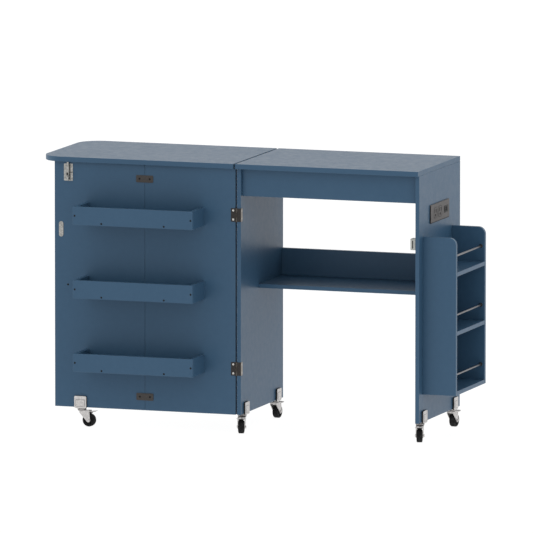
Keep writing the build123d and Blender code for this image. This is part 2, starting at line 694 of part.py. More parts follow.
# ------------------------------------------------------------------ magnetic catch
def make_catch():
    """Catch body on the right panel's inner face, and the magnet that meets the strike."""
    width = 16.0
    height = 34.0
    border = 2.0
    magnet_front = -0.5
    body_front = 1.6
    body = board((INSIDE_RIGHT - width, INSIDE_RIGHT), (body_front, 24.0),
                 (STRIKE_Z - height / 2, STRIKE_Z + height / 2))
    magnet = block((INSIDE_RIGHT - width + border, INSIDE_RIGHT - border),
                   (magnet_front, body_front),
                   (STRIKE_Z - height / 2 + 1.5 * border, STRIKE_Z + height / 2 - 1.5 * border))
    save("magnetic_catch", body, magnet)


# ------------------------------------------------------------------ casters
# A caster is made with its kingpin at the origin and its wheel trailing along +X.
def caster_bracket():
    """Angle bracket: a deep embossed plate, a flange under the board and the kingpin."""
    near = KINGPIN_INBOARD
    under = PANEL_BOTTOM - BRACKET_FLANGE
    skirt_top = 6.0
    skirt_half = 14.0
    emboss = 0.6
    face = Plane(origin=(near, 0, PANEL_BOTTOM), x_dir=(0, 1, 0), z_dir=(1, 0, 0))
    middle = face * Pos(0, BRACKET_TOP - BRACKET_HEIGHT / 2)
    plate = extrude(middle * RectangleRounded(BRACKET_WIDTH, BRACKET_HEIGHT, 4.0),
                    amount=BRACKET_DEPTH)
    plate += block((near, near + BRACKET_DEPTH), (-skirt_half, skirt_half),
                   (under, PANEL_BOTTOM + skirt_top))
    boss = extrude(face * Pos(0, 13.0) * RectangleRounded(27.0, 20.0, 2.5),
                   amount=BRACKET_DEPTH + emboss)
    flange_radius = 13.0
    flange = block((0, near + 1.0), (-flange_radius, flange_radius), (under, PANEL_BOTTOM))
    flange += rod((0, 0, under), (0, 0, 1), flange_radius, BRACKET_FLANGE)
    head_top = FORK_TOP - FORK_WEB - 0.4
    pin = rod((0, 0, head_top), (0, 0, 1), KINGPIN_RADIUS, under + 1.0 - head_top)
    head = rod((0, 0, head_top), (0, 0, -1), KINGPIN_HEAD, 2.4)
    return plate + boss + flange + pin + head


def fork_cheek(side):
    """Side plate of the fork, tapering from the web down to the axle."""
    toe = LEVER_PIVOT[0] + 3.0
    heel = -5.0
    outline = Polygon((heel, FORK_TOP), (toe, FORK_TOP), (toe, 40), (toe + 2, WHEEL_RADIUS),
                      (17.6, 16.8), (heel, 42), align=None)
    eye = Pos(TRAIL, WHEEL_RADIUS) * Circle(6.0)
    start = FORK_INSIDE if side > 0 else -FORK_OUTSIDE
    plane = Plane(origin=(0, start, 0), x_dir=(1, 0, 0), z_dir=(0, -1, 0))
    return extrude(plane * (outline + eye), amount=FORK_OUTSIDE - FORK_INSIDE, dir=(0, 1, 0))


def caster_fork():
    """Web and swivel hub round the kingpin, two cheeks, and the lever's pin."""
    web_end = LEVER_PIVOT[0] - LEVER_BARREL - 0.8
    web = block((0, web_end), (-FORK_OUTSIDE, FORK_OUTSIDE), (FORK_TOP - FORK_WEB, FORK_TOP))
    web += rod((0, 0, FORK_TOP - FORK_WEB), (0, 0, 1), FORK_OUTSIDE, FORK_WEB)
    hub_height = PANEL_BOTTOM - BRACKET_FLANGE - SWIVEL_GAP - FORK_TOP
    hub = rod((0, 0, FORK_TOP), (0, 0, 1), SWIVEL_RADIUS, hub_height)
    fork = web + hub + fork_cheek(1) + fork_cheek(-1)
    pin_half = FORK_OUTSIDE + 0.7
    pivot = (LEVER_PIVOT[0], -pin_half, LEVER_PIVOT[1])
    fork += rod(pivot, (0, 1, 0), LEVER_PIN_RADIUS, 2 * pin_half)
    fork -= rod((0, 0, FORK_TOP - 20), (0, 0, 1), KINGPIN_RADIUS + RUNNING, 40.0)
    return fork - rod((TRAIL, -20, WHEEL_RADIUS), (0, 1, 0), AXLE_RADIUS + SNUG, 40.0)


def caster_axle():
    """Axle bolt with its head and nut."""
    axle = rod((TRAIL, -FORK_OUTSIDE, WHEEL_RADIUS), (0, 1, 0), AXLE_RADIUS, 2 * FORK_OUTSIDE)
    nut = Plane(origin=(TRAIL, FORK_OUTSIDE, WHEEL_RADIUS), z_dir=(0, 1, 0))
    axle += extrude(nut * RegularPolygon(4.2, 6), amount=3.0)
    return axle + rod((TRAIL, -FORK_OUTSIDE, WHEEL_RADIUS), (0, -1, 0), 4.0, 2.0)


def caster_wheel():
    """Wheel with a chamfered tread, dished sides and a hub boss."""
    boss = 6.0
    boss_half = WHEEL_HALF + 0.5
    dish_half = WHEEL_HALF - 1.8
    rim = 15.0
    chamfer = 2.0
    near = [(AXLE_RADIUS + RUNNING, boss_half), (boss, boss_half), (boss, dish_half),
            (rim - 1.0, dish_half), (rim, WHEEL_HALF), (WHEEL_RADIUS - chamfer, WHEEL_HALF),
            (WHEEL_RADIUS, WHEEL_HALF - chamfer)]
    far = [(radius, -across) for radius, across in reversed(near)]
    wheel = revolve(make_face(Polyline(*near, *far, close=True)), Axis.Y)
    return Pos(TRAIL, 0, WHEEL_RADIUS) * wheel


def caster_lever():
    """Brake lever: a barrel on the fork's pin, a tail to press and a shoe over the tread."""
    u, z = LEVER_PIVOT
    half = FORK_INSIDE - 0.5
    neck = 6.0                    # from the pin to the tail, past the cheeks
    sheet = (z + LEVER_BARREL - LEVER_SHEET, z + LEVER_BARREL)
    lever = rod((u, -half, z), (0, 1, 0), LEVER_BARREL, 2 * half)
    lever += block((u, u + neck + 1), (-half, half), sheet)
    tail = block((u + neck, u + LEVER_REACH), (-LEVER_HALF, LEVER_HALF), sheet)
    lever += fillet(tail.edges().filter_by(Axis.Z).sort_by(Axis.X)[-2:], 4.0)
    shoe_half = 7.0
    lever += block((u + 1.0, u + 5.0), (-shoe_half, shoe_half), (z - 3.0, sheet[0] + 0.4))
    return lever - rod((u, -half - 1, z), (0, 1, 0), LEVER_PIN_RADIUS + RUNNING, 2 * half + 2)


def make_casters():
    """Brackets, and the four pieces of each swivelling caster."""
    brackets = []
    for name, x, y, trail in CASTERS:
        bracket = bracket_place(name, x, y) * caster_bracket()
        bracket -= bracket_screws(bracket_place(name, x, y), SNUG)
        place = Pos(x, y, 0) * Rot(0, 0, trail)
        save(f"{name}_caster_fork", place * caster_fork())
        save(f"{name}_caster_axle", place * caster_axle())
        save(f"{name}_caster_wheel", place * caster_wheel())
        save(f"{name}_caster_brake_lever", place * caster_lever())
        if name == "door":
            save("door_caster_bracket", bracket)
        else:
            brackets.append(bracket)
    save("cabinet_caster_brackets", *brackets)


# ------------------------------------------------------------------ the whole table
def make_table():
    """Place every fastener, drill the boards for them and write all the nodes."""
    os.makedirs("parts", exist_ok=True)
    back = (0, 1, 0)
    dowel_places = panel_joint_dowels()
    tray_points = tray_screw_points()
    knob_point = (KNOB_X, 0, KNOB_Z)
    plate_points = joining_plate_points() + latch_screw_points() + strike_points()
    hinge_points = hinge_screw_points()
    flange_points = flange_screw_points()
    short = FITTING_SCREW_LENGTH

    holes = [dowel_hole(*place) for place in dowel_places]
    holes += [screw(point, back, length=TRAY_SCREW_LENGTH, grow=SNUG) for point in tray_points]
    holes += [screw(knob_point, back, length=KNOB_SCREW_LENGTH, grow=SNUG)]
    holes += [screw(point, back, length=short, grow=SNUG) for point in plate_points + hinge_points]
    holes += [screw(point, (-1, 0, 0), length=short, grow=SNUG) for point in flange_points]
    holes += rack_rods(SNUG)
    for name, x, y, trail in CASTERS:
        holes.append(bracket_screws(bracket_place(name, x, y), SNUG))

    make_cabinet(holes)
    save("drop_leaf", make_leaf())
    make_door(holes)
    make_trays(holes)
    make_latch(holes)
    make_door_fittings(holes)
    make_hinges(holes)
    make_catch()
    make_outlet()
    make_casters()
    save("rack_rods", *rack_rods())
    save("rod_flanges", *rod_flanges())

    save("cabinet_dowels", *[dowel(*place) for place in dowel_places])
    tray_screws = [screw(point, back, length=TRAY_SCREW_LENGTH) for point in tray_points]
    knob_screw = screw(knob_point, back, length=KNOB_SCREW_LENGTH)
    save("tray_and_knob_screws", *tray_screws, knob_screw)
    save("plate_and_latch_screws", *[screw(point, back, length=short) for point in plate_points])
    hinge_screws = [screw(point, back, length=short) for point in hinge_points]
    door_bracket = [bracket_screws(bracket_place(*item[:3])) for item in CASTERS[-1:]]
    save("door_fitting_screws", *hinge_screws, *door_bracket)
    flange_screws = [screw(point, (-1, 0, 0), length=short) for point in flange_points]
    cabinet_brackets = [bracket_screws(bracket_place(*item[:3])) for item in CASTERS[:-1]]
    save("cabinet_fitting_screws", *flange_screws, *cabinet_brackets)


make_table()
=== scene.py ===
import bmesh
import bpy
import json
import math
from mathutils import Matrix, Vector


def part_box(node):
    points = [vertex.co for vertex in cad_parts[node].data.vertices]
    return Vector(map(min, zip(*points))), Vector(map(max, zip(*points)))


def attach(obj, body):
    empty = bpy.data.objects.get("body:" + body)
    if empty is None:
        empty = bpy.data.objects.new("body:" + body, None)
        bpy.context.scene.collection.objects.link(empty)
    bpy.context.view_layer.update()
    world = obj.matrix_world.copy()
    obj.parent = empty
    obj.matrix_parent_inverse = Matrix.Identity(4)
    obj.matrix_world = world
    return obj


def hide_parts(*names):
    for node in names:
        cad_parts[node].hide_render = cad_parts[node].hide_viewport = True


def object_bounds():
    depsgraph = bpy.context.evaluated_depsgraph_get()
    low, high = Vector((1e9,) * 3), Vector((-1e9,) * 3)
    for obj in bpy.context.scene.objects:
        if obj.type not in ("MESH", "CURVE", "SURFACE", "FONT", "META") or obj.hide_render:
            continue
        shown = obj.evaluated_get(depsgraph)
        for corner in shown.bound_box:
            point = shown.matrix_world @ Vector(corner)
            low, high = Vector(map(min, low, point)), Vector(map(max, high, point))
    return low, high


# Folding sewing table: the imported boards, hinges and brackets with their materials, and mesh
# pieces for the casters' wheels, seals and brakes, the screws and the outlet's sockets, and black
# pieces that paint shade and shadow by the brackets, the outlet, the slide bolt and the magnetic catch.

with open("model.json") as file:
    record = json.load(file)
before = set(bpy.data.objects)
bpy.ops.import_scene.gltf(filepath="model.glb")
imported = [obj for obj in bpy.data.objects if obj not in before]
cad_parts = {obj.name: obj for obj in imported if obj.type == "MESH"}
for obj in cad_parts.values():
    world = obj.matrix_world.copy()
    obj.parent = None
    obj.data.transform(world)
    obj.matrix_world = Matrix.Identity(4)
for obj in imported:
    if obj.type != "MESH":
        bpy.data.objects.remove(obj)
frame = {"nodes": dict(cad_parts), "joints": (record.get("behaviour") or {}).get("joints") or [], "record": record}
CAD_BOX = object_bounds()
NODES = frame["nodes"]
JOINTS = {joint["name"]: joint for joint in frame["joints"]}
MM = 0.001
CASTERS = ("front_left", "front_right", "rear_left", "rear_right", "door")

# ------------------------------------------------------------------ view and light
AZIMUTH = math.radians(18.94)       # of the camera, to the right of square-on
ELEVATION = math.radians(7.673)
DISTANCE = 39.02
LENS = 887.1                        # mm, for a sensor 36 mm wide
AIM_FROM_CENTRE = Vector((0.0135, 0.0123, 0.080))
SKY = 1.0
FLOOR_SIZE = 60.0
FLOOR_GLOW = 0.95                   # even light of its own, so that it stays white
KEY_STRENGTH = 0.05
KEY_ANGLE = math.radians(40)        # apparent size of the key light: soft shadows
KEY_TURN = (math.radians(38), math.radians(-22), 0)


def add_camera():
    """Camera a long way off with a long lens, aimed near the middle of the table."""
    aim = (CAD_BOX[0] + CAD_BOX[1]) / 2 + AIM_FROM_CENTRE
    back = Vector((math.sin(AZIMUTH) * math.cos(ELEVATION),
                   -math.cos(AZIMUTH) * math.cos(ELEVATION), math.sin(ELEVATION)))
    data = bpy.data.cameras.new("camera")
    data.sensor_width = 36.0
    data.lens = LENS
    data.clip_start = 1.0
    data.clip_end = 200.0
    camera = bpy.data.objects.new("camera", data)
    camera.location = aim + back * DISTANCE
    camera.rotation_mode = "QUATERNION"
    camera.rotation_quaternion = (-back).to_track_quat("-Z", "Y")
    bpy.context.scene.collection.objects.link(camera)
    bpy.context.scene.camera = camera


def add_light():
    """White sky all round, with a broad soft key light from the upper left."""
    scene = bpy.context.scene
    scene.view_settings.view_transform = "Standard"
    world = bpy.data.worlds.new("studio")
    world.use_nodes = True
    world.node_tree.nodes["Background"].inputs["Color"].default_value = (1, 1, 1, 1)
    world.node_tree.nodes["Background"].inputs["Strength"].default_value = SKY
    scene.world = world
    sun = bpy.data.lights.new("key", "SUN")
    sun.energy = KEY_STRENGTH
    sun.angle = KEY_ANGLE
    lamp = bpy.data.objects.new("key", sun)
    lamp.rotation_euler = KEY_TURN
    scene.collection.objects.link(lamp)


def add_floor():
    """Plain white studio floor under the casters."""
    mesh = bpy.data.meshes.new("floor")
    half = FLOOR_SIZE / 2
    mesh.from_pydata([(-half, -half, 0), (half, -half, 0), (half, half, 0), (-half, half, 0)],
                     [], [(0, 1, 2, 3)])
    shader = Shader("floor_white", {"Base Color": (0.1, 0.1, 0.1, 1), "Roughness": 0.9,
                                    "Specular IOR Level": 0.0, "Emission Color": (1, 1, 1, 1),
                                    "Emission Strength": FLOOR_GLOW})
    mesh.materials.append(shader.material)
    floor = bpy.data.objects.new("floor", mesh)
    bpy.context.scene.collection.objects.link(floor)


# ------------------------------------------------------------------ materials
def srgb(*values):
    """Colour from 0 to 255 values, as the shader wants it."""
    linear = []
    for value in values:
        share = value / 255
        linear.append(share / 12.92 if value <= 10 else ((share + 0.055) / 1.055) ** 2.4)
    return (*linear, 1.0)


class Shader:
    """Material with one principled shader, and short ways to add nodes in front of it."""

    def __init__(self, name, values):
        self.material = bpy.data.materials.new(name)
        self.material.use_nodes = True
        self.nodes = self.material.node_tree.nodes
        self.links = self.material.node_tree.links
        self.bsdf = self.nodes["Principled BSDF"]
        for socket, value in values.items():
            self.bsdf.inputs[socket].default_value = value
        self.coordinates = self.nodes.new("ShaderNodeTexCoord")

    def node(self, kind, inputs, **settings):
        """Node with its settings, and its inputs linked or set."""
        node = self.nodes.new("ShaderNode" + kind)
        for key, value in settings.items():
            setattr(node, key, value)
        for key, value in inputs.items():
            if isinstance(value, bpy.types.NodeSocket):
                self.links.new(value, node.inputs[key])
            else:
                node.inputs[key].default_value = value
        return node

    def place(self, stretch):
        """Object coordinates, scaled along each axis."""
        scaled = self.node("VectorMath", {0: self.coordinates.outputs["Object"], 1: stretch},
                           operation="MULTIPLY")
        return scaled.outputs[0]

    def noise(self, scale, detail=2.0, rough=0.5, stretch=(1, 1, 1)):
        noise = self.node("TexNoise", {"Vector": self.place(stretch), "Scale": scale,
                                       "Detail": detail, "Roughness": rough})
        return noise.outputs["Fac"]

    def spangle(self, scale):
        """A grey for each crystal of a zinc coat."""
        cells = self.node("TexVoronoi", {"Vector": self.coordinates.outputs["Object"],
                                         "Scale": scale})
        return self.node("RGBToBW", {"Color": cells.outputs["Color"]}).outputs[0]

    def fade(self, value, low, high, out_low=0.0, out_high=1.0):
        """Value mapped from one range to another, and kept in it."""
        node = self.node("MapRange", {"Value": value, "From Min": low, "From Max": high,
                                      "To Min": out_low, "To Max": out_high})
        return node.outputs[0]

    def times(self, a, b):
        return self.node("Math", {0: a, 1: b}, operation="MULTIPLY").outputs[0]

    def plus(self, a, b):
        return self.node("Math", {0: a, 1: b}, operation="ADD").outputs[0]

    def mix(self, factor, a, b):
        """Colour between a and b."""
        node = self.node("Mix", {0: factor, 6: a, 7: b}, data_type="RGBA")
        return node.outputs[2]

    def rounded_edges(self):
        """1 on a board's rounded edges and 0 on its flat faces."""
        size = self.node("VectorMath", {0: self.coordinates.outputs["Normal"]},
                         operation="ABSOLUTE")
        axes = self.node("SeparateXYZ", {0: size.outputs[0]}).outputs
        most = self.node("Math", {0: axes[0], 1: axes[1]}, operation="MAXIMUM").outputs[0]
        most = self.node("Math", {0: most, 1: axes[2]}, operation="MAXIMUM").outputs[0]
        return self.fade(most, 0.97, 0.8)

    def colour(self, value):
        self.links.new(value, self.bsdf.inputs["Base Color"])

    def roughness(self, value, low, high):
        self.links.new(self.fade(value, 0.3, 0.7, low, high), self.bsdf.inputs["Roughness"])

    def bump(self, height, distance, strength=1.0):
        """Relief of the given depth, in metres."""
        node = self.node("Bump", {"Height": height, "Distance": distance, "Strength": strength})
        self.links.new(node.outputs[0], self.bsdf.inputs["Normal"])


def blue_paint():
    """Satin lacquer on smooth board: faint mottle, orange peel, and a patchy painted highlight on the rounded
    edges.
    """
    shader = Shader("blue_paint", {"IOR": 1.5, "Specular IOR Level": 0.22})
    drift = shader.noise(2.2, 3)
    mottle = shader.noise(60, 4, 0.6)
    base = shader.mix(drift, srgb(50, 79, 104), srgb(56, 85, 110))
    base = shader.mix(shader.fade(mottle, 0.35, 0.7, 0, 0.22), base, srgb(63, 92, 117))
    # painted highlight: the rounded edges are mixed, in patches, towards a lighter blue
    patchy = shader.fade(shader.noise(45, 3), 0.35, 0.65, 0.25, 0.6)
    edge_highlight = shader.times(shader.rounded_edges(), patchy)
    shader.colour(shader.mix(edge_highlight, base, srgb(88, 114, 135)))
    shader.roughness(mottle, 0.33, 0.42)
    peel = shader.plus(shader.noise(380, 2), shader.times(shader.noise(1400, 2), 0.4))
    shader.bump(peel, 0.00007)
    return shader.material


def zinc_plate():
    """Bright zinc on pressed steel, with faint spangle and fine scratches."""
    shader = Shader("zinc_plate", {"Metallic": 0.85})
    crystal = shader.spangle(330)
    shader.colour(shader.mix(shader.fade(crystal, 0, 1, 0.1, 0.9), srgb(172, 170, 169),
                             srgb(213, 210, 208)))
    shader.roughness(shader.noise(160, 4, 0.65), 0.34, 0.5)
    scratch = shader.noise(900, 3, 0.6, (1, 1, 0.12))
    shader.bump(shader.plus(scratch, shader.times(shader.noise(250, 2), 0.8)), 0.00005)
    return shader.material


def nickel_plate():
    """Satin nickel with a light grain."""
    shader = Shader("nickel_plate", {"Metallic": 0.9})
    tone = shader.noise(240, 4, 0.6)
    shader.colour(shader.mix(shader.fade(tone, 0.35, 0.65), srgb(134, 134, 131),
                             srgb(182, 181, 177)))
    shader.roughness(tone, 0.3, 0.44)
    shader.bump(shader.noise(1100, 3, 0.6, (1, 1, 0.1)), 0.00004)
    return shader.material


def dark_bronze(name="dark_bronze", lift=0, right_face_sheen=0.0):
    """Oil-rubbed steel: nearly black brown with lighter wear in the relief.

    lift makes the whole finish lighter, and the last argument is how strongly a painted
    reflection lightens the faces that look right."""
    shader = Shader(name, {"Metallic": 0.4})
    grain = shader.noise(520, 5, 0.68)
    brown = shader.mix(shader.fade(grain, 0.38, 0.66), srgb(20 + lift, 18 + lift, 17 + lift),
                       srgb(58 + lift, 53 + lift, 50 + lift))
    wear = shader.times(shader.rounded_edges(), 0.4)
    brown = shader.mix(wear, brown, srgb(98, 87, 77))
    # painted reflection: faces that look right are mixed towards a pale grey
    if right_face_sheen:
        normal = shader.node("SeparateXYZ", {0: shader.coordinates.outputs["Normal"]})
        right = shader.fade(normal.outputs[0], 0.8, 0.95, 0.0, right_face_sheen)
        brown = shader.mix(right, brown, srgb(158, 151, 143))
    shader.colour(brown)
    shader.roughness(grain, 0.42, 0.6)
    shader.bump(grain, 0.00012)
    return shader.material


def gunmetal():
    """Dark drawn rod with fine marks round it."""
    shader = Shader("gunmetal", {"Metallic": 0.95})
    rings = shader.noise(700, 3, 0.6, (0.3, 2.5, 0.3))
    shader.colour(shader.mix(rings, srgb(88, 88, 92), srgb(128, 127, 129)))
    shader.roughness(shader.noise(90, 3), 0.26, 0.38)
    shader.bump(rings, 0.00003)
    return shader.material


def black_oxide():
    """Blackened screw steel."""
    shader = Shader("black_oxide", {"Metallic": 0.2, "Specular IOR Level": 0.3})
    grain = shader.noise(900, 4)
    shader.colour(shader.mix(grain, srgb(5, 5, 5), srgb(18, 17, 17)))
    shader.roughness(grain, 0.5, 0.66)
    shader.bump(grain, 0.00004)
    return shader.material


def bright_screw():
    """Zinc-plated screw steel."""
    shader = Shader("bright_screw", {"Metallic": 0.95})
    grain = shader.noise(800, 4)
    shader.colour(shader.mix(grain, srgb(188, 186, 182), srgb(226, 224, 220)))
    shader.roughness(grain, 0.22, 0.36)
    shader.bump(grain, 0.00003)
    return shader.material


def caster_rubber():
    """Black wheel with a dull, slightly dusty tread."""
    shader = Shader("caster_rubber", {"IOR": 1.48, "Specular IOR Level": 0.15})
    dust = shader.noise(140, 5, 0.65)
    shader.colour(shader.mix(shader.fade(dust, 0.45, 0.75), srgb(13, 13, 14), srgb(46, 46, 48)))
    shader.roughness(dust, 0.5, 0.7)
    shader.bump(shader.noise(1500, 3), 0.00005)
    return shader.material


def moulded_plastic(name, dark, light, low, high):
    """Moulded plastic with a spark-eroded texture."""
    shader = Shader(name, {"IOR": 1.49, "Specular IOR Level": 0.22})
    grain = shader.noise(1300, 3, 0.6)
    tone = shader.noise(70, 3)
    shader.colour(shader.mix(shader.times(shader.plus(grain, tone), 0.5), dark, light))
    shader.roughness(grain, low, high)
    shader.bump(grain, 0.00005)
    return shader.material


def beech():
    """Pale turned wood of the dowels, with grain along them."""
    shader = Shader("beech", {"Roughness": 0.6})
    grain = shader.noise(400, 5, 0.7, (0.2, 1, 1))
    shader.colour(shader.mix(grain, srgb(176, 134, 88), srgb(214, 178, 132)))
    shader.bump(grain, 0.00008)
    return shader.material


# material of each slot in the record
SLOTS = {
    "painted_board": blue_paint,
    "zinc_steel": zinc_plate,
    "nickel_steel": nickel_plate,
    "bronze_hardware": dark_bronze,
    "gunmetal_rod": gunmetal,
    "dark_screw": black_oxide,
    "steel_screw": bright_screw,
    "wheel_black": caster_rubber,
    "outlet_plastic": lambda: moulded_plastic("outlet_grey", srgb(74, 72, 72), srgb(98, 95, 94),
                                              0.45, 0.6),
    "insert_plastic": lambda: moulded_plastic("insert_black", srgb(20, 20, 21), srgb(38, 37, 37),
                                              0.42, 0.56),
    "catch_plastic": lambda: moulded_plastic("catch_grey", srgb(158, 160, 156),
                                             srgb(182, 184, 180), 0.4, 0.55),
    "dowel_wood": beech,
}
LOOKS = {}


def paint_nodes():
    """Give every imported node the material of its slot."""
    for slot, make in SLOTS.items():
        LOOKS[slot] = make()
    for part in frame["record"]["subparts"]:
        node = NODES[part["node"]]
        node.data.materials.clear()
        node.data.materials.append(LOOKS[part["material_slot"]])
    # the fixed hinge leaves get a painted reflection on their faces that look right
    for name, look in (("door_hinge_fixed_leaves", dark_bronze("bronze_painted_sheen", 0, 0.9)),
                       ("joining_plates", dark_bronze("plate_bronze", 22))):
        materials = NODES[name].data.materials
        materials.clear()
        materials.append(look)


def soften(node_name, width):
    """Break the sharp edges of a pressed or moulded node."""
    node = NODES[node_name]
    weld = node.modifiers.new("weld", "WELD")
    weld.merge_threshold = 1e-6
    bevel = node.modifiers.new("bevel", "BEVEL")
    bevel.width = width
    bevel.segments = 2
    bevel.limit_method = "ANGLE"
    bevel.angle_limit = math.radians(50)
    bevel.use_clamp_overlap = True
    bevel.harden_normals = True


# ------------------------------------------------------------------ mesh helpers
def piece(name, bm, slot, body, sharp=35.0):
    """Turn a bmesh into an object that has a slot's material and rides on a body."""
    bmesh.ops.remove_doubles(bm, verts=bm.verts, dist=1e-7)
    bmesh.ops.recalc_face_normals(bm, faces=bm.faces)
    mesh = bpy.data.meshes.new(name)
    bm.to_mesh(mesh)
    bm.free()
    mesh.polygons.foreach_set("use_smooth", [True] * len(mesh.polygons))
    mesh.set_sharp_from_angle(angle=math.radians(sharp))
    mesh.materials.append(LOOKS[slot])
    made = bpy.data.objects.new(name, mesh)
    bpy.context.scene.collection.objects.link(made)
    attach(made, body)
    return made


def spin(bm, profile, steps, place, shape=None):
    """Turn a closed outline of (radius, height) points about place's Z axis.

    shape(angle, radius, height) may give each point another radius and height."""
    rings = []
    for step in range(steps):
        angle = 2 * math.pi * step / steps
        ring = []
        for radius, height in profile:
            if shape:
                radius, height = shape(step, radius, height)
            point = Vector((radius * math.cos(angle), radius * math.sin(angle), height))
            ring.append(bm.verts.new(place @ point))
        rings.append(ring)
    for step, ring in enumerate(rings):
        beyond = rings[(step + 1) % steps]
        for index in range(len(profile)):
            other = (index + 1) % len(profile)
            bm.faces.new((ring[index], ring[other], beyond[other], beyond[index]))


def bevelled_block(bm, low, high, place, width, segments=2):
    """Block between two corners, in place's coordinates, with rounded edges."""
    middle = (Vector(low) + Vector(high)) / 2
    size = Vector(high) - Vector(low)
    made = bmesh.ops.create_cube(bm, size=1.0, matrix=place @ Matrix.Translation(middle)
                                 @ Matrix.Diagonal((*size, 1.0)))
    edges = list({edge for vert in made["verts"] for edge in vert.link_edges})
    bmesh.ops.bevel(bm, geom=edges, offset=width, segments=segments, profile=0.5,
                    affect="EDGES")


def islands(node_name):
    """Lowest and highest corner of each separate solid in a node."""
    bm = bmesh.new()
    bm.from_mesh(NODES[node_name].data)
    bmesh.ops.remove_doubles(bm, verts=bm.verts, dist=1e-6)
    left = set(bm.verts)
    boxes = []
    while left:
        front = [left.pop()]
        found = []
        while front:
            vert = front.pop()
            found.append(vert.co.copy())
            for edge in vert.link_edges:
                other = edge.other_vert(vert)
                if other in left:
                    left.remove(other)
                    front.append(other)
        low = Vector([min(point[axis] for point in found) for axis in range(3)])
        high = Vector([max(point[axis] for point in found) for axis in range(3)])
        boxes.append((low, high))
    bm.free()
    return sorted(boxes, key=lambda box: tuple(round(value, 4) for value in box[0]))


def facing(point, normal):
    """Placement whose Z axis is the normal, at a point."""
    return Matrix.Translation(point) @ Vector(normal).to_track_quat("Z", "Y").to_matrix().to_4x4()


# ------------------------------------------------------------------ screws
SCREW_HEAD = 3.2                    # mm, its radius
SCREW_STEPS = 48
CROSS_ARM = 0.42 * MM               # half of the recess's width
CROSS_REACH = 1.7 * MM              # from the middle to the end of an arm
CROSS_RIM = 1.9 * MM
CROSS_SLOPE = 0.3 * MM              # width of the recess's sloping walls
CROSS_DEPTH = 1.0 * MM


def screw(bm, place, length):
    """Countersunk screw with a crossed recess; place's Z axis points out of the head."""
    tip = -length / MM
    rims = [0.0, 0.35, 0.6, 0.85, 1.1, 1.35, 1.6, 1.9, 2.3, 2.75, 3.0, 3.15, SCREW_HEAD]
    top = [(radius * MM, -0.28 * MM * (radius / SCREW_HEAD) ** 2) for radius in rims]
    below = [(SCREW_HEAD, -0.45), (1.6, -2.0), (1.45, -2.3), (1.5, tip + 2.0), (0.0, tip)]
    profile = top + [(radius * MM, height * MM) for radius, height in below]

    def recess(step, radius, height):
        angle = 2 * math.pi * step / SCREW_STEPS
        across = radius * abs(math.sin(2 * angle)) / 2
        arm = 1.0 - min(1.0, max(0.0, (across - CROSS_ARM) / CROSS_SLOPE))
        end = 1.0 - min(1.0, max(0.0, (radius - CROSS_REACH) / CROSS_SLOPE))
        if height < -0.4 * MM:
            return radius, height
        return radius, height - CROSS_DEPTH * arm * end * (1.0 - 0.45 * radius / CROSS_RIM)

    spin(bm, profile, SCREW_STEPS, place, recess)


def in_boxes(point, nodes):
    """Whether a point lies over one of the nodes' solids, as seen from the front."""
    return any(low.x < point.x < high.x and low.z < point.z < high.z
               for node in nodes for low, high in islands(node))


def screw_set(name, node, slot, body, within=None, proud=0.05 * MM):
    """The screws of a node, each where its solid is, or only those within some nodes' boxes."""
    bm = bmesh.new()
    for low, high in islands(node):
        if within is None or in_boxes((low + high) / 2, within):
            size = high - low
            axis = max(range(3), key=lambda index: size[index])
            normal = Vector((0, 0, 0))
            normal[axis] = 1.0 if axis == 0 else -1.0
            head = (low + high) / 2
            head[axis] = high[axis] if axis == 0 else low[axis]
            screw(bm, facing(head + normal * proud, normal), size[axis])
    made = piece(name, bm, slot, body)
    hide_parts(node)


def add_screws():
    screw_set("tray_screws", "tray_and_knob_screws", "dark_screw", "door")
    screw_set("plate_screws", "plate_and_latch_screws", "dark_screw", "door",
              ["joining_plates"])
    screw_set("latch_screws", "plate_and_latch_screws", "nickel_steel", "door",
              ["latch_base", "strike_plate"])
    screw_set("door_hardware_screws", "door_fitting_screws", "steel_screw", "door")
    screw_set("cabinet_hardware_screws", "cabinet_fitting_screws", "steel_screw", "cabinet")


# ------------------------------------------------------------------ casters
WHEEL_STEPS = 96
GROOVE_EVERY = 8                    # steps round the wheel between the tread's grooves
TREAD_RING = 1.3 * MM               # between the rings of points across the tread
TREAD_EDGE = 19.2 * MM              # radius where the tread starts
GROOVE_DEPTH = 0.9 * MM
POCKET_RADII = (7.6 * MM, 13.0 * MM)
SPOKE_STEPS = 16
POCKET_STEPS = 11


def caster_frame(name):
    """Placement at a caster's kingpin on the floor, with X along its trail."""
    kingpin = Vector(JOINTS[f"{name}_swivel"]["pos_m"])
    centre = Vector(JOINTS[f"{name}_roll"]["pos_m"])
    along = centre - kingpin
    along.z = 0
    turn = Matrix.Rotation(math.atan2(along.y, along.x), 4, "Z")
    return Matrix.Translation((kingpin.x, kingpin.y, 0)) @ turn, along.length, centre.z


def wheel_shape(step, radius, height):
    """Cut crossed grooves into the tread and six pockets into each side of the hub."""
    ring = round(height / TREAD_RING)
    crossed = (step + ring) % GROOVE_EVERY == 0 or (step - ring) % GROOVE_EVERY == 0
    if radius > TREAD_EDGE and crossed:
        return radius - GROOVE_DEPTH, height
    inner, outer = POCKET_RADII
    if inner < radius < outer and step % SPOKE_STEPS < POCKET_STEPS:
        return radius, height * 0.7
    return radius, height


